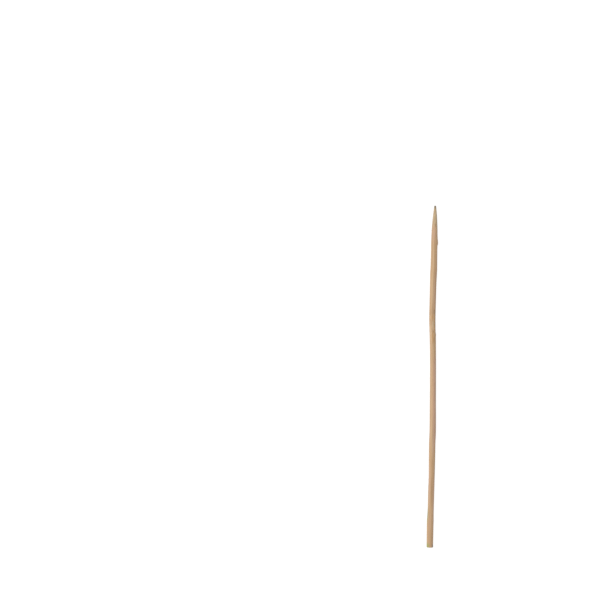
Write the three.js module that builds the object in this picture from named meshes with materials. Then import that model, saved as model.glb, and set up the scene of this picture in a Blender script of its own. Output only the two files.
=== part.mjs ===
// A bamboo skewer, lying on its side as it rests on a table.
// It is one stick of split bamboo: drawn through a round cutter, ground to a point at one end and
// sawn off square at the other. The bamboo's own knot leaves a kink in it, so it is not quite straight.
// Millimetres, +Z up. The stick lies along Y, point towards +Y, with its underside on Z = 0.
// The origin is under the middle of the stick.
import * as THREE from "three";

// Overall sizes
const LENGTH = 200; // sawn end to tip
const WIDTH = 3.5; // nominal, side to side, as the cutter leaves it
const HEIGHT = 3.5; // underside to top

// The ground point
const POINT_LENGTH = 22; // tip to the shoulder, where the grinding stops
const CONE_LENGTH = 10; // tip to where the straight cone would reach the full girth
const TIP_DIAMETER = 1.1; // the very tip is blunt and rounded
const SHOULDER_EASE = 0.03; // how far the end of the cone still falls short of the shaft's radius

// The lip of fibres that the grinding raised on one side of the shoulder
const BURR_HEIGHT = 0.3;
const BURR_RISE = 4; // length of its slope on the point, up to the shoulder
const BURR_DROP = 1.8; // length of its short free edge on the shaft
const BURR_SPREAD = 25; // degrees each side of +X

// The ledge that the knot leaves on the same side, where the cutter went over its hard rim
const KNOT_SHARE = 0.6225; // its place, as a share of the length from the sawn end
const LEDGE_HEIGHT = 0.12;
const LEDGE_RISE = 9; // length of its slope, from the sawn end's side
const LEDGE_DROP = 1.4; // length of its edge, on the point's side
const LEDGE_SPREAD = 60; // degrees each side of +X

// The sawn end
const RIM_WEAR = 0.22; // radius of the worn edge round the sawn face

// How far the middle of the stick wanders sideways from a straight line between its ends
const BOW = 0.63;

// The way it wanders: share of the length from the sawn end, share of BOW towards +X.
// The steep part, from 0.57 to 0.66, is the kink at the knot.
const BOW_SHARES = [
  [0, 0],
  [0.065, 0.03],
  [0.125, 0.38],
  [0.16, 0.46],
  [0.21, 0.7],
  [0.3, 0.73],
  [0.345, 1],
  [0.44, 0.68],
  [0.52, 0.4],
  [0.575, 0.05],
  [0.62, -0.5],
  [0.65, -0.85],
  [0.675, -1],
  [0.75, -0.8],
  [0.8, -0.55],
  [0.825, -0.33],
  [0.91, -0.27],
  [1, 0],
];

// The width varies where the split strip was thick or thin: share of the length, share of WIDTH.
const WIDTH_SHARES = [
  [0, 1.075],
  [0.07, 1.12],
  [0.092, 1.06],
  [0.12, 1.01],
  [0.14, 1.02],
  [0.17, 1.035],
  [0.2, 1.01],
  [0.25, 1.055],
  [0.33, 1.085],
  [0.42, 1.04],
  [0.53, 1],
  [0.635, 1.03],
  [0.66, 1.06],
  [0.7, 1.065],
  [0.765, 1.075],
  [0.805, 1.13],
  [0.85, 1.075],
  [1, 1.05],
];

// Fineness of the solid
const FACETS = 32; // round the stick, an even number, so that it lies on a flat one
const SHAFT_STEP = 3.5; // between sections along the shaft
const EDGE_STEP = 0.4; // between sections down the free edges of the ledge and the burr
const POINT_STEPS = 20; // sections along the ground point
const ROUND_STEPS = 4; // sections round the tip and the worn rim

const RADIUS = HEIGHT / 2 / Math.cos(Math.PI / FACETS); // to the corners: the flats are HEIGHT apart
const SHOULDER = LENGTH - POINT_LENGTH;
const KNOT = LENGTH * KNOT_SHARE;

// A smooth curve through pairs of shares, read at a distance from the sawn end.
function alongStick(pairs, size) {
  const points = pairs.map(
    ([share, value]) => new THREE.Vector2(share * LENGTH, value * size),
  );
  const curve = new THREE.SplineCurve(points);
  return (station) => curve.getPointAt(station / LENGTH).y;
}

// A quarter circle in the profile's plane, as points.
function roundedEdge(centreRadius, centreStation, radius, fromAngle) {
  const arc = new THREE.EllipseCurve(
    centreRadius,
    centreStation,
    radius,
    radius,
    fromAngle,
    fromAngle + Math.PI / 2,
  );
  return arc.getPoints(ROUND_STEPS);
}

// Distances from one station up to, but not including, another, about a step apart.
function spaced(from, to, step) {
  const count = Math.ceil((to - from) / step);
  return Array.from({ length: count }, (_, i) => THREE.MathUtils.lerp(from, to, i / count));
}

// Sections along the straight shaft, closer together down the edges of the ledge and the burr.
function shaftPoints() {
  const stations = [
    ...spaced(RIM_WEAR, KNOT, SHAFT_STEP).slice(1),
    ...spaced(KNOT, KNOT + LEDGE_DROP, EDGE_STEP),
    ...spaced(KNOT + LEDGE_DROP, SHOULDER - BURR_DROP, SHAFT_STEP),
    ...spaced(SHOULDER - BURR_DROP, SHOULDER, EDGE_STEP),
  ];
  return stations.map((station) => new THREE.Vector2(RADIUS, station));
}

// The ground point: a straight cone that swells into the shaft at the shoulder.
function pointPoints() {
  const tipRadius = TIP_DIAMETER / 2;
  const curve = new THREE.QuadraticBezierCurve(
    new THREE.Vector2(RADIUS, SHOULDER),
    new THREE.Vector2(RADIUS - SHOULDER_EASE, LENGTH - CONE_LENGTH),
    new THREE.Vector2(tipRadius, LENGTH - tipRadius),
  );
  return curve.getPoints(POINT_STEPS);
}

// Half the stick's outline, from the middle of the sawn face to the tip: x is the radius, y the station.
function profile() {
  const tipRadius = TIP_DIAMETER / 2;
  return [
    new THREE.Vector2(0, 0),
    ...roundedEdge(RADIUS - RIM_WEAR, RIM_WEAR, RIM_WEAR, -Math.PI / 2),
    ...shaftPoints(),
    ...pointPoints(),
    ...roundedEdge(0, LENGTH - tipRadius, tipRadius, 0).slice(1, -1),
    new THREE.Vector2(0, LENGTH),
  ];
}

// Height over the round surface of a lip on the +X side. It is highest at its place, and slopes away
// over one length towards the point and another towards the sawn end.
function lipHeight(station, angle, place, height, towardsPoint, towardsSawnEnd, spread) {
  const past = station - place;
  const lengthwise = past > 0 ? past / towardsPoint : -past / towardsSawnEnd;
  const around = angle / THREE.MathUtils.degToRad(spread);
  if (lengthwise >= 1 || Math.abs(around) >= 1) return 0;
  return height * THREE.MathUtils.smoothstep(1 - lengthwise, 0, 1) * (1 - around ** 2);
}

// The burr and the knot's ledge together.
function raised(station, angle) {
  const burr = lipHeight(
    station,
    angle,
    SHOULDER,
    BURR_HEIGHT,
    BURR_RISE,
    BURR_DROP,
    BURR_SPREAD,
  );
  const ledge = lipHeight(
    station,
    angle,
    KNOT,
    LEDGE_HEIGHT,
    LEDGE_DROP,
    LEDGE_RISE,
    LEDGE_SPREAD,
  );
  return burr + ledge;
}

// Gives the turned stick its uneven width, its burr and ledge, and its wander.
function makeUneven(geometry) {
  const girth = alongStick(WIDTH_SHARES, 1);
  const wander = alongStick(BOW_SHARES, BOW);
  const width = WIDTH / HEIGHT;
  const position = geometry.getAttribute("position");
  for (let i = 0; i < position.count; i += 1) {
    const station = position.getY(i);
    const radius = Math.hypot(position.getX(i), position.getZ(i));
    const angle = Math.atan2(position.getZ(i), position.getX(i));
    const proud = radius > 0 ? raised(station, angle) : 0;
    const across = (radius + proud) * Math.cos(angle);
    const up = (radius + proud) * Math.sin(angle);
    position.setXYZ(
      i,
      across * width * girth(station) + wander(station),
      station,
      up,
    );
  }
}

// The lathe turns about Y. Its first facet is turned by half a step, which puts a flat one underneath.
function skewerGeometry() {
  const geometry = new THREE.LatheGeometry(profile(), FACETS, Math.PI / FACETS);
  makeUneven(geometry);
  geometry.computeBoundingBox();
  const { min, max } = geometry.boundingBox;
  geometry.translate(-(min.x + max.x) / 2, -(min.y + max.y) / 2, -min.z);
  geometry.computeVertexNormals();
  return geometry;
}

const bamboo = new THREE.MeshStandardMaterial({
  color: 0xc8a680,
  roughness: 0.62,
  metalness: 0,
});

const skewer = new THREE.Mesh(skewerGeometry(), bamboo);
skewer.name = "skewer";

const group = new THREE.Group();
group.add(skewer);

export default group;
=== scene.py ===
import math
import random

import bmesh
import bpy
import numpy as np
from mathutils import Matrix, Vector, noise
from mathutils.geometry import interpolate_bezier


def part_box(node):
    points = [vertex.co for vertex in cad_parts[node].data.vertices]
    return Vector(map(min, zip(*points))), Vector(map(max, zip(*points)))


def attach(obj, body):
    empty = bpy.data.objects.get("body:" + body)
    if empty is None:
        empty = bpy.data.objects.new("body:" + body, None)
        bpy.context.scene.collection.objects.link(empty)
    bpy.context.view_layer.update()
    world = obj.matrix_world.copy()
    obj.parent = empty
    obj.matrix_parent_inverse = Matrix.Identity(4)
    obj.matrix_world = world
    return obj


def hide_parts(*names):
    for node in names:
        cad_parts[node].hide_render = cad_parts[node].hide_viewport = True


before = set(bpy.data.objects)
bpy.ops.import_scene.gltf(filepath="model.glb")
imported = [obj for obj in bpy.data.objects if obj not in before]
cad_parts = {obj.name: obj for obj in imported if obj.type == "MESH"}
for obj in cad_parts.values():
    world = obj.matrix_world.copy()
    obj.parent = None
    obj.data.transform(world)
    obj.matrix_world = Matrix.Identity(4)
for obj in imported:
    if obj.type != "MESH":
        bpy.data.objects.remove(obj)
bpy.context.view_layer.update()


# The view
# The stick lies on a table and is seen from straight above, through a long lens. It lies to the
# right of the picture's middle and leans a little clockwise. Pixels count from the picture's top
# left corner.
LENGTH = 200.0  # millimetres, sawn end to tip
MM = 0.001
PICTURE_MIDDLE = Vector((300, 300))
SAWN_END_PIXEL = Vector((429.8, 547.3))
TIP_PIXEL = Vector((435.22, 205.6))
PICTURE_WIDTH = 600
SENSOR_WIDTH = 36
FOCAL_LENGTH = 85
NEAREST_SEEN = 0.01  # metres
ON_FACE = 1e-6  # metres: how close to the end a corner of the sawn face lies

low_corner, high_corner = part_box("skewer")
middle_height = (low_corner.z + high_corner.z) / 2
solid_corners = [vert.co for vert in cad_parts["skewer"].data.vertices]
sawn_face = [corner.x for corner in solid_corners if corner.y < low_corner.y + ON_FACE]
axis_x = (min(sawn_face) + max(sawn_face)) / 2

run = TIP_PIXEL - SAWN_END_PIXEL
metres_per_pixel = LENGTH * MM / run.length
lean = math.atan2(run.x, -run.y)
picture_right = Vector((math.cos(lean), math.sin(lean)))
picture_up = Vector((-math.sin(lean), math.cos(lean)))
from_middle = ((TIP_PIXEL + SAWN_END_PIXEL) / 2 - PICTURE_MIDDLE) * metres_per_pixel
camera_place = Vector((axis_x, 0)) - picture_right * from_middle.x + picture_up * from_middle.y
camera_distance = PICTURE_WIDTH * metres_per_pixel * FOCAL_LENGTH / SENSOR_WIDTH

camera_data = bpy.data.cameras.new("view_from_above")
camera_data.lens = FOCAL_LENGTH
camera_data.sensor_width = SENSOR_WIDTH
camera_data.clip_start = NEAREST_SEEN
camera = bpy.data.objects.new("view_from_above", camera_data)
camera.location = (camera_place.x, camera_place.y, middle_height + camera_distance)
camera.rotation_euler = (0, 0, lean)
bpy.context.scene.collection.objects.link(camera)
bpy.context.scene.camera = camera


# The stick
# One stick of split bamboo, drawn through a round cutter that tore fine grooves along it. One end
# is sawn square, and the other ground to a point, with a lip of fibres at its shoulder. The wood
# kinks where the bamboo had its knot. Sizes are in millimetres.
WIDTH = 3.5
HEIGHT = 3.5
RADIUS = HEIGHT / 2
POINT_LENGTH = 22.0
CONE_LENGTH = 10.0
TIP_RADIUS = 0.55  # the very tip is blunt and rounded
SHOULDER_EASE = 0.03  # how far the end of the cone still falls short of the shaft
SHOULDER = LENGTH - POINT_LENGTH
RIM_WEAR = 0.22
BURR_HEIGHT = 0.3
BURR_RISE = 4.0
BURR_DROP = 1.8
BURR_SPREAD = math.radians(25)
KNOT = 0.6225 * LENGTH
LEDGE_HEIGHT = 0.12
LEDGE_RISE = 9.0
LEDGE_DROP = 1.4
LEDGE_SPREAD = math.radians(60)
LIP_RAGGEDNESS = 0.5  # how far the burr's and the ledge's edges stray along the stick

# How far the stick wanders to the right of a straight line, and how its width varies: pairs of a
# share of the length from the sawn end and a share of the size
BOW = 0.63
BOW_SHARES = [
    (0, 0),
    (0.065, 0.03),
    (0.125, 0.38),
    (0.16, 0.46),
    (0.21, 0.7),
    (0.3, 0.73),
    (0.345, 1),
    (0.44, 0.68),
    (0.52, 0.4),
    (0.575, 0.05),
    (0.62, -0.5),
    (0.65, -0.85),
    (0.675, -1),
    (0.75, -0.8),
    (0.8, -0.55),
    (0.825, -0.33),
    (0.91, -0.27),
    (1, 0),
]
WIDTH_SHARES = [
    (0, 1.075),
    (0.07, 1.12),
    (0.092, 1.06),
    (0.12, 1.01),
    (0.14, 1.02),
    (0.17, 1.035),
    (0.2, 1.01),
    (0.25, 1.055),
    (0.33, 1.085),
    (0.42, 1.04),
    (0.53, 1),
    (0.635, 1.03),
    (0.66, 1.06),
    (0.7, 1.065),
    (0.765, 1.075),
    (0.805, 1.13),
    (0.85, 1.075),
    (1, 1.05),
]

# Fineness of the mesh
STEPS_ROUND = 180
SHAFT_STEP = 0.43
FACE_STEPS = 8
CORNER_STEPS = 6
POINT_STEPS = 76
CURVE_STEPS = 24  # between two of the pairs
MERGE_DISTANCE = 1e-4

# How far the cutter and the saw tore the wood below the true round surface
FIBRE_DEPTH = 0.05
WAVE_DEPTH = 0.03
SAW_DEPTH = 0.05
THIN_RADIUS = 0.8  # nearer the axis than this, the wood is torn less deeply
GROOVE_COUNT = 46
GROOVE_STARTS = (-5, LENGTH)
GROOVE_DEPTH = (0.03, 0.09)
GROOVE_LENGTH = (6, 40)
GROOVE_HALF_WIDTH = math.radians(4.5)
GROOVE_ENDS = 6  # a groove reaches its depth after a sixth of its length
GROOVE_SEED = 11

# Hair-thin splinters that stand off the surface: distance from the sawn end, degrees round from
# +X, length towards the point (or, below zero, towards the sawn end), and how far the free end
# stands off
SPLINTER_RADIUS = 0.055
SPLINTER_TAPER = 0.85  # how much of that radius is gone at the free end
SPLINTER_SINK = 0.7  # share of that radius by which its root lies under the surface
SPLINTER_SIDES = 6
SPLINTER_STEPS = 7
SPLINTERS = [
    (181.0, 9, -4.2, 0.16),
    (180.2, -14, -3.4, 0.2),
    (183.5, 2, -2.6, 0.14),
    (187.5, 168, -2.2, 0.14),
    (126.4, 12, -3.2, 0.16),
    (122.6, -20, 2.9, 0.15),
    (97.0, 186, 2.8, 0.14),
    (58.5, -8, -3.0, 0.13),
    (38.0, 172, 2.4, 0.15),
    (1.9, 20, -1.75, 0.12),
    (2.3, 160, -2.1, 0.14),
    (1.6, -150, -1.5, 0.1),
]


def along_stick(shares, size):
    """A smooth curve through pairs of shares, read at distances from the sawn end."""
    points = [Vector((share * LENGTH, value * size)) for share, value in shares]
    last = len(points) - 1
    samples = []
    for i in range(last):
        before, start, end, after = (points[max(0, min(last, i + j))] for j in (-1, 0, 1, 2))
        leave = start + (end - before) / 6
        arrive = end - (after - start) / 6
        samples += interpolate_bezier(start, leave, arrive, end, CURVE_STEPS)
    stations = [sample.x for sample in samples]
    values = [sample.y for sample in samples]
    return lambda station: float(np.interp(station, stations, values))


def quarter_round(centre_radius, centre_station, radius, from_angle):
    """A quarter circle in the outline, as pairs of radius and station."""
    angles = [from_angle + math.pi / 2 * i / CORNER_STEPS for i in range(CORNER_STEPS + 1)]
    return [
        (centre_radius + radius * math.cos(angle), centre_station + radius * math.sin(angle))
        for angle in angles
    ]


def stick_outline():
    """Half the stick's outline, from the middle of the sawn face to the tip."""
    face_edge = RADIUS - RIM_WEAR
    face = [(face_edge * i / FACE_STEPS, 0.0) for i in range(FACE_STEPS)]
    rim = quarter_round(face_edge, RIM_WEAR, RIM_WEAR, -math.pi / 2)
    shaft_steps = round((SHOULDER - RIM_WEAR) / SHAFT_STEP)
    shaft = [
        (RADIUS, RIM_WEAR + (SHOULDER - RIM_WEAR) * i / shaft_steps) for i in range(1, shaft_steps)
    ]
    shoulder = Vector((RADIUS, SHOULDER))
    corner = Vector((RADIUS - SHOULDER_EASE, LENGTH - CONE_LENGTH))
    cone_end = Vector((TIP_RADIUS, LENGTH - TIP_RADIUS))
    leave = shoulder.lerp(corner, 2 / 3)
    arrive = cone_end.lerp(corner, 2 / 3)
    point = [tuple(p) for p in interpolate_bezier(shoulder, leave, arrive, cone_end, POINT_STEPS)]
    tip = quarter_round(0, LENGTH - TIP_RADIUS, TIP_RADIUS, 0)[1:-1]
    return face + rim + shaft + point + tip + [(0.0, LENGTH)]


rng = random.Random(GROOVE_SEED)
grooves = []
for i in range(GROOVE_COUNT):
    groove_start = rng.uniform(*GROOVE_STARTS)
    grooves.append(
        (
            rng.uniform(-math.pi, math.pi),
            groove_start,
            groove_start + rng.uniform(*GROOVE_LENGTH),
            rng.uniform(*GROOVE_DEPTH),
        )
    )


def groove_depth(station, angle):
    """Depth of the long torn grooves under a place on the surface."""
    depth = 0.0
    for groove_angle, start, end, deepest in grooves:
        if start < station < end:
            aside = math.remainder(angle - groove_angle, 2 * math.pi) / GROOVE_HALF_WIDTH
            if abs(aside) < 1:
                along = (station - start) / (end - start)
                run_out = min(1, GROOVE_ENDS * along, GROOVE_ENDS * (1 - along))
                depth = max(depth, deepest * (1 - aside**2) * run_out)
    return depth


def lip_height(past, angle, height, towards_point, towards_sawn_end, spread):
    """Height of a ragged lip on the +X side over the round surface, highest at its place."""
    past += LIP_RAGGEDNESS * noise.noise(Vector((angle * 7, height * 10, 0)))
    lengthwise = past / towards_point if past > 0 else -past / towards_sawn_end
    around = angle / spread
    if lengthwise >= 1 or abs(around) >= 1:
        return 0.0
    rise = 1 - lengthwise
    return height * rise * rise * (3 - 2 * rise) * (1 - around**2)


def long_noise(x, station, z, round_scale, along_scale, seed=(0, 0)):
    """Noise drawn out along the fibres. Its scales are per millimetre."""
    place = (x * round_scale + seed[0], station * along_scale, z * round_scale + seed[1])
    return noise.noise(Vector(place))


def torn_depth(x, station, z):
    """How far the fibres are torn away under a place on the surface of the straight stick."""
    coarse = long_noise(x, station, z, 4.5, 0.07)
    fine = long_noise(x, station, z, 9, 0.16, (7, 0))
    wave = long_noise(x, station, z, 0.9, 0.03, (0, 5))
    fibre = 0.35 + 0.4 * coarse + 0.4 * fine
    return FIBRE_DEPTH * max(0.0, fibre) + WAVE_DEPTH * max(0.0, 0.15 + wave)


def sawn_depth(x, z):
    """How far the saw tore the wood at a place on the sawn face."""
    speckle = long_noise(x, 1.7, z, 4, 1) + long_noise(x, 4.4, z, 9, 1)
    return SAW_DEPTH * max(0.0, 0.5 + 0.6 * speckle)


def point_fall(station):
    """How far the ground point's surface lies below the shaft's."""
    return float(np.interp(station, outline_stations, outline_falls))


stick_profile = stick_outline()
beyond_rim = stick_profile[FACE_STEPS + CORNER_STEPS :]
outline_stations = [station for radius, station in beyond_rim]
outline_falls = [RADIUS - radius for radius, station in beyond_rim]

# Each point of the mesh keeps its place in the straight stick, how far to the right it faces, and
# stand_off: 0 on the stick itself, and on a splinter 1 plus its height over the surface.
bm = bmesh.new()
grain_layer = bm.verts.layers.float_vector.new("grain")
side_layer = bm.verts.layers.float.new("side")
stand_off = bm.verts.layers.float.new("stand_off")


def turn_outline(outline, steps):
    """Spins an outline about the stick's axis into a closed solid, and returns its new points."""
    line = [bm.verts.new((radius, station, 0)) for radius, station in outline]
    edges = [bm.edges.new(pair) for pair in zip(line, line[1:])]
    bmesh.ops.spin(
        bm,
        geom=line + edges,
        cent=(0, 0, 0),
        axis=(0, 1, 0),
        angle=2 * math.pi,
        steps=steps,
        use_merge=True,
    )
    fresh = [vert for vert in bm.verts if vert[stand_off] == 0]
    bmesh.ops.remove_doubles(bm, verts=fresh, dist=MERGE_DISTANCE)
    return [vert for vert in bm.verts if vert[stand_off] == 0]


# Each splinter is a fine cone, rooted just under the surface, whose free end stands off it.
for place, degrees, length, lift in SPLINTERS:
    angle = math.radians(degrees)
    taper = [
        (SPLINTER_RADIUS * (1 - SPLINTER_TAPER * share), abs(length) * share)
        for share in np.linspace(0, 1, SPLINTER_STEPS)
    ]
    for vert in turn_outline([(0.0, 0.0), *taper, (0.0, abs(length))], SPLINTER_SIDES):
        reach = vert.co.y / abs(length)
        out = RADIUS - SPLINTER_RADIUS * SPLINTER_SINK + vert.co.z
        aside = vert.co.x
        vert[stand_off] = 1.0 + lift * reach**2
        vert.co = (
            out * math.cos(angle) - aside * math.sin(angle),
            place + length * reach,
            out * math.sin(angle) + aside * math.cos(angle),
        )
turn_outline(stick_profile, STEPS_ROUND)

# The straight stick is torn, raised and worn, and then gets its uneven width and its wander.
girth = along_stick(WIDTH_SHARES, 1)
wander = along_stick(BOW_SHARES, BOW)
for vert in bm.verts:
    x, station, z = vert.co
    radius = math.hypot(x, z)
    angle = math.atan2(z, x)
    vert[grain_layer] = (x, station, z)
    vert[side_layer] = x / RADIUS if station < RIM_WEAR else math.cos(angle)
    on_face = max(0.0, 1 - station / RIM_WEAR)
    if on_face > 0 and vert[stand_off] == 0:
        station += on_face * sawn_depth(x, z)
    thin = min(1.0, radius / THIN_RADIUS) * (1 - on_face)
    sunk = thin * (torn_depth(x, station, z) + groove_depth(station, angle))
    proud = lip_height(station - SHOULDER, angle, BURR_HEIGHT, BURR_RISE, BURR_DROP, BURR_SPREAD)
    proud += lip_height(station - KNOT, angle, LEDGE_HEIGHT, LEDGE_DROP, LEDGE_RISE, LEDGE_SPREAD)
    if vert[stand_off] > 0:
        sunk = 1.0 - vert[stand_off] + point_fall(station)
    out = max(0.0, radius - sunk + proud)
    vert.co = (
        out * math.cos(angle) * (WIDTH / HEIGHT) * girth(station) + wander(station),
        station - LENGTH / 2,
        out * math.sin(angle) + RADIUS,
    )
bmesh.ops.recalc_face_normals(bm, faces=bm.faces)
for face in bm.faces:
    face.smooth = True

stick_mesh = bpy.data.meshes.new("stick")
bm.to_mesh(stick_mesh)
bm.free()
stick_mesh.transform(Matrix.Translation((axis_x, 0, low_corner.z)) @ Matrix.Scale(MM, 4))
stick = bpy.data.objects.new("stick", stick_mesh)
bpy.context.scene.collection.objects.link(stick)


class Wire:
    """A socket of a material. Arithmetic on it adds the material's Math nodes."""

    def __init__(self, tree, socket=None):
        self.tree = tree
        self.socket = socket

    def node(self, kind, settings=None, inputs=None, output=0):
        """Adds a node of that kind, sets it up, wires its inputs and returns one of its outputs."""
        made = self.tree.nodes.new(kind)
        for name, value in (settings or {}).items():
            setattr(made, name, value)
        for name, value in (inputs or {}).items():
            if isinstance(value, Wire):
                self.tree.links.new(value.socket, made.inputs[name])
            else:
                made.inputs[name].default_value = value
        return Wire(self.tree, made.outputs[output]) if made.outputs else None

    def math(self, operation, *values):
        """The result of a Math node that works on these values."""
        return self.node("ShaderNodeMath", {"operation": operation}, dict(enumerate(values)))

    def __add__(self, other):
        return self.math("ADD", self, other)

    def __sub__(self, other):
        return self.math("SUBTRACT", self, other)

    def __mul__(self, other):
        return self.math("MULTIPLY", self, other)

    def __radd__(self, other):
        return self.math("ADD", other, self)

    def __rsub__(self, other):
        return self.math("SUBTRACT", other, self)

    def __rmul__(self, other):
        return self.math("MULTIPLY", other, self)

    def ease(self, start, end):
        """0 up to start, 1 from end on, and a smooth rise between them. start may be the larger."""
        inputs = {0: self, 1: start, 2: end, 3: 0.0, 4: 1.0}
        if start > end:
            inputs = {0: self, 1: end, 2: start, 3: 1.0, 4: 0.0}
        return self.node("ShaderNodeMapRange", {"interpolation_type": "SMOOTHSTEP"}, inputs)

    def near(self, place, reach):
        """1 at a place, falling smoothly to 0 at that reach on both sides of it."""
        return self.math("ABSOLUTE", self - place).ease(reach, 0.0)

    def tint(self, factor, colour):
        """This colour, changed towards another one by a factor."""
        return self.node("ShaderNodeMix", {"data_type": "RGBA"}, {0: factor, 6: self, 7: colour}, 2)


# Bamboo: honey to pinkish tan, in long streaks that run with the fibres. The bundles of vessels
# are darker, and show as dots on the sawn face. The knot is browner, the tip is soiled, the right
# corner of the sawn end is darker, and a trace of the green skin is left beside the sawn end. A
# grey band along the right edge is painted shade, and the dark patch on the point's right side is
# partly painted shade and partly soil.
HONEY = (0.565, 0.363, 0.195, 1)
PINK_TAN = (0.6, 0.38, 0.262, 1)
OLIVE_TAN = (0.56, 0.43, 0.26, 1)
PALE = (0.74, 0.56, 0.37, 1)
BUNDLE = (0.28, 0.155, 0.07, 1)
RUSSET = (0.46, 0.27, 0.16, 1)
AMBER = (0.58, 0.31, 0.1, 1)
KNOT_BROWN = (0.3, 0.165, 0.075, 1)
DARK_KNOT = (0.19, 0.1, 0.045, 1)
# The next colour is grey wood in some marks, and painted shade in a band along the right edge
GREY_WOOD_AND_SHADE = (0.36, 0.33, 0.22, 1)
GREEN_SKIN = (0.33, 0.37, 0.1, 1)
# The next colour is soil at the tip and in some marks, and partly painted shade on the point's
# right side
SOIL_AND_SHADE = (0.1, 0.09, 0.07, 1)

BUNDLE_STRENGTH = 0.42
BUMP_STRENGTH = 0.8
BUMP_HEIGHT = 0.00005  # metres
SHEEN_LEVEL = 0.35

# Changes along the stick: how far from the sawn end each starts, and where it is complete
PINK_FROM = (48.0, 66.0)
PINK_TO = (118.0, 106.0)
OLIVE_FROM = (184.0, 192.0)
SAWN_TO = (0.2, 0.02)
GREEN_TO = (3.4, 1.4)
DARK_CORNER_TO = (3.4, 0.8)
SOILED_TIP_FROM = (LENGTH - 2.0, LENGTH + 0.8)
RAGGED_EDGE = 2.5  # how unevenly, from fibre to fibre, the marks, the green and the corner end

# Near the knot the fibres wander sideways: the middle of that stretch, its reach, and by how much
KNOT_MIDDLE = KNOT + 5.0
KNOT_REACH = 14.0
KNOT_WANDER = 1.6

# Marks in the wood: distance from the sawn end, reach along the stick, place from its left side,
# -1, to its right side, 1, reach across it, strength and colour
MARKS = [
    (6.0, 10.0, 0.45, 0.25, 0.4, KNOT_BROWN),
    (14.0, 9.0, -0.15, 0.4, 0.5, PINK_TAN),
    (18.5, 7.0, -1.0, 0.35, 0.7, GREEN_SKIN),
    (20.0, 5.0, -1.0, 0.28, 0.35, SOIL_AND_SHADE),
    (28.0, 30.0, 0.65, 0.6, 0.5, PINK_TAN),
    (33.0, 12.0, 0.05, 0.45, 0.45, KNOT_BROWN),
    (36.0, 16.0, -0.6, 0.5, 0.5, PINK_TAN),
    (43.0, 9.0, -1.0, 0.4, 0.8, PINK_TAN),
    (48.0, 16.0, 1.0, 0.38, 0.3, SOIL_AND_SHADE),
    (58.5, 9.0, 0.0, 0.55, 0.3, PALE),
    (66.0, 16.0, 0.1, 0.5, 0.12, GREY_WOOD_AND_SHADE),
    (68.0, 14.0, -0.5, 0.5, 0.25, PALE),
    (90.0, 28.0, -0.1, 0.8, 0.35, PINK_TAN),
    # Painted shade: a grey band along the right edge, on the side away from the lamp
    (92.0, 34.0, 0.95, 0.4, 0.35, GREY_WOOD_AND_SHADE),
    (104.0, 7.0, 0.5, 0.4, 0.5, PINK_TAN),
    (115.5, 7.0, 0.05, 0.55, 0.3, PALE),
    (121.5, 3.5, 0.35, 0.35, 0.4, KNOT_BROWN),
    (123.0, 4.5, -0.1, 0.4, 0.6, AMBER),
    (126.5, 11.0, -0.65, 0.4, 0.4, PALE),
    (130.0, 5.0, 0.05, 0.5, 0.5, PALE),
    (131.0, 3.0, 0.3, 0.4, 0.35, GREY_WOOD_AND_SHADE),
    (131.5, 7.0, 0.95, 0.4, 0.4, KNOT_BROWN),
    (134.4, 2.8, -0.1, 0.5, 0.5, AMBER),
    (137.8, 2.2, 0.45, 0.38, 0.6, DARK_KNOT),
    (147.0, 14.0, -0.05, 0.5, 0.25, PALE),
    (149.0, 14.0, 0.75, 0.6, 0.4, RUSSET),
    (160.0, 2.2, 0.55, 0.4, 0.5, RUSSET),
    (167.0, 12.0, 1.0, 0.5, 0.55, RUSSET),
    (183.5, 7.0, -0.2, 1.3, 0.6, PINK_TAN),
    (188.3, 1.8, 0.2, 0.35, 0.6, KNOT_BROWN),
    # Partly painted shade of the point's steep right side, away from the lamp, and partly soil
    (190.5, 10.0, 1.0, 0.6, 0.45, SOIL_AND_SHADE),
]

bamboo = bpy.data.materials.new("bamboo")
bamboo.use_nodes = True
bamboo.node_tree.nodes.clear()
start = Wire(bamboo.node_tree)

grain = start.node("ShaderNodeAttribute", {"attribute_name": "grain"}, output=1)
side = start.node("ShaderNodeAttribute", {"attribute_name": "side"}, output=2)
across = start.node("ShaderNodeSeparateXYZ", inputs={0: grain}, output=0)
station = start.node("ShaderNodeSeparateXYZ", inputs={0: grain}, output=1)
upward = start.node("ShaderNodeSeparateXYZ", inputs={0: grain}, output=2)


def fibre_place(round_scale, along_scale, seed):
    """A place in the wood, drawn out along the fibres. Its scales are per millimetre."""
    parts = {0: across * round_scale + seed, 1: station * along_scale, 2: upward * round_scale}
    return start.node("ShaderNodeCombineXYZ", inputs=parts)


def fibre_noise(round_scale, along_scale, seed, detail=2.0):
    """Noise that runs with the fibres."""
    place = fibre_place(round_scale, along_scale, seed)
    inputs = {"Vector": place, "Scale": 1.0, "Detail": detail}
    return start.node("ShaderNodeTexNoise", inputs=inputs)


def fibre_cells(round_scale, along_scale, seed):
    """Distance from the nearest of many lines that run with the fibres."""
    place = fibre_place(round_scale, along_scale, seed)
    return start.node("ShaderNodeTexVoronoi", {"feature": "F1"}, {"Vector": place, "Scale": 1.0})


stray = fibre_noise(0.7, 0.3, 0.0, 1.0) - 0.5
across = across + stray * station.near(KNOT_MIDDLE, KNOT_REACH) * KNOT_WANDER

hair = fibre_noise(8.0, 0.1, 3.0)
streak = fibre_noise(2.8, 0.026, 17.0)
band = fibre_noise(0.7, 0.018, 29.0, 1.0)
bundle = fibre_cells(2.3, 0.012, 0.0).ease(0.4, 0.2)
fine_bundle = fibre_cells(4.3, 0.0, 5.0).ease(0.36, 0.2) * side.ease(0.6, -0.5)

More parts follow.
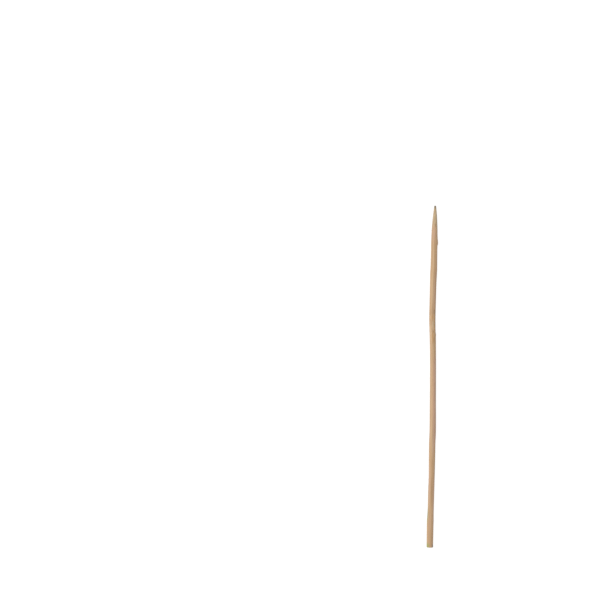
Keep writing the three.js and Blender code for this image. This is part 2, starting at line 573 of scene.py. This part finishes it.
pink_stretch = station.ease(*PINK_FROM) * station.ease(*PINK_TO) * side.ease(-0.6, 0.1)
blush = (band + pink_stretch * 0.22).ease(0.5, 0.72)
colour = start.node("ShaderNodeMix", {"data_type": "RGBA"}, {0: blush, 6: HONEY, 7: PINK_TAN}, 2)
colour = colour.tint(station.ease(*OLIVE_FROM) * 0.8, OLIVE_TAN)
colour = colour.tint(streak.ease(0.52, 0.72) * 0.45, PALE)
colour = colour.tint(streak.ease(0.47, 0.3) * 0.42, BUNDLE)
colour = colour.tint(bundle * BUNDLE_STRENGTH, BUNDLE)
colour = colour.tint(hair.ease(0.45, 0.25) * 0.45, BUNDLE)
colour = colour.tint(hair.ease(0.56, 0.74) * 0.4, PALE)

ragged_station = station + (hair + streak - 1.0) * RAGGED_EDGE
for place, reach, place_across, reach_across, strength, mark in MARKS:
    patch = ragged_station.near(place, reach) * side.near(place_across, reach_across)
    colour = colour.tint(patch * strength, mark)

# The sawn face shows the bundles end on, as dots that crowd towards the skin on the left.
sawn = station.ease(*SAWN_TO)
colour = colour.tint(sawn * 0.35, PALE)
colour = colour.tint(sawn * bundle * 0.5, BUNDLE)
colour = colour.tint(sawn * fine_bundle * 0.5, BUNDLE)

# The green skin, the darker right corner of the sawn end and the soiled tip
green_shaft = ragged_station.ease(*GREEN_TO) * side.ease(0.1, -0.7) * (1 - sawn)
green = green_shaft + sawn * side.ease(-0.55, -1.0)
dark_right_corner = ragged_station.ease(*DARK_CORNER_TO) * side.ease(0.45, 0.9)
soiled_tip = (station + hair * 2.0).ease(*SOILED_TIP_FROM)
colour = colour.tint(green * 0.72, GREEN_SKIN)
colour = colour.tint(dark_right_corner * 0.75, SOIL_AND_SHADE)
colour = colour.tint(soiled_tip * 0.68, SOIL_AND_SHADE)

roughness = 0.5 + hair * 0.2 + sawn * 0.15
relief = hair * 0.6 + streak * 0.4 - bundle * 0.3
bump = start.node(
    "ShaderNodeBump",
    inputs={"Strength": BUMP_STRENGTH, "Distance": BUMP_HEIGHT, "Height": relief},
)
surface = start.node(
    "ShaderNodeBsdfPrincipled",
    inputs={
        "Base Color": colour,
        "Roughness": roughness,
        "Normal": bump,
        "Specular IOR Level": SHEEN_LEVEL,
    },
)
start.node("ShaderNodeOutputMaterial", inputs={"Surface": surface})

stick_mesh.materials.append(bamboo)
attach(stick, "root")
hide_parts("skewer")


# The table
# A plain white sheet under the stick. The camera sees it as white, and the stick's soft shadow
# stays on it.
TABLE_HALF = 3.0
WHITE = (1, 1, 1, 1)
SHEET_GREY = (0.8, 0.8, 0.8, 1)  # what lights the stick from below
SHADOW_GREY = (0.2, 0.2, 0.2, 1)  # what takes the shadow, where the sheet is seen
SHEET_GLOW = 0.9

bm = bmesh.new()
bmesh.ops.create_grid(bm, x_segments=1, y_segments=1, size=TABLE_HALF)
table_mesh = bpy.data.meshes.new("table")
bm.to_mesh(table_mesh)
bm.free()
table = bpy.data.objects.new("table", table_mesh)
bpy.context.scene.collection.objects.link(table)

white = bpy.data.materials.new("white_table")
white.use_nodes = True
white.node_tree.nodes.clear()
paper = Wire(white.node_tree)


def shown_plainly(wire):
    """1 for a ray from the camera, a mirror or glass, which see plain white, and 0 for others."""
    kinds = ("Is Camera Ray", "Is Glossy Ray", "Is Transmission Ray")
    seen, mirrored, through = (wire.node("ShaderNodeLightPath", output=kind) for kind in kinds)
    return wire.math("MINIMUM", seen + mirrored + through, 1.0)


plain = paper.node("ShaderNodeBsdfDiffuse", inputs={"Color": SHEET_GREY})
shaded = paper.node("ShaderNodeBsdfDiffuse", inputs={"Color": SHADOW_GREY})
glow = paper.node("ShaderNodeEmission", inputs={"Color": WHITE, "Strength": SHEET_GLOW})
bright = paper.node("ShaderNodeAddShader", inputs={0: shaded, 1: glow})
sheet = paper.node("ShaderNodeMixShader", inputs={0: shown_plainly(paper), 1: plain, 2: bright})
paper.node("ShaderNodeOutputMaterial", inputs={"Surface": sheet})
table_mesh.materials.append(white)


# The light
# A broad soft lamp from the left, and even light from all round. Together they light a surface that
# faces up at a level of about one.
LAMP_PLACE = Vector((-0.75, 0.1, 0.65))
LAMP_SIZE = 0.6
LAMP_LEVEL = 0.47
ROOM_LEVEL = 0.64

lamp_data = bpy.data.lights.new("soft_lamp", "AREA")
lamp_data.shape = "DISK"
lamp_data.size = LAMP_SIZE
# A disk lamp of this many watts lights a surface that faces it at LAMP_LEVEL.
lamp_data.energy = LAMP_LEVEL * math.pi**2 * LAMP_PLACE.length_squared
lamp = bpy.data.objects.new("soft_lamp", lamp_data)
lamp.location = LAMP_PLACE
lamp.rotation_euler = (-LAMP_PLACE).to_track_quat("-Z", "Y").to_euler()
bpy.context.scene.collection.objects.link(lamp)

room = bpy.data.worlds.new("room")
room.use_nodes = True
room.node_tree.nodes.clear()
air = Wire(room.node_tree)
lit = air.node("ShaderNodeBackground", inputs={"Color": WHITE, "Strength": ROOM_LEVEL})
backdrop = air.node("ShaderNodeBackground", inputs={"Color": WHITE, "Strength": 1.0})
sky = air.node("ShaderNodeMixShader", inputs={0: shown_plainly(air), 1: lit, 2: backdrop})
air.node("ShaderNodeOutputWorld", inputs={"Surface": sky})
bpy.context.scene.world = room
bpy.context.scene.view_settings.view_transform = "Standard"
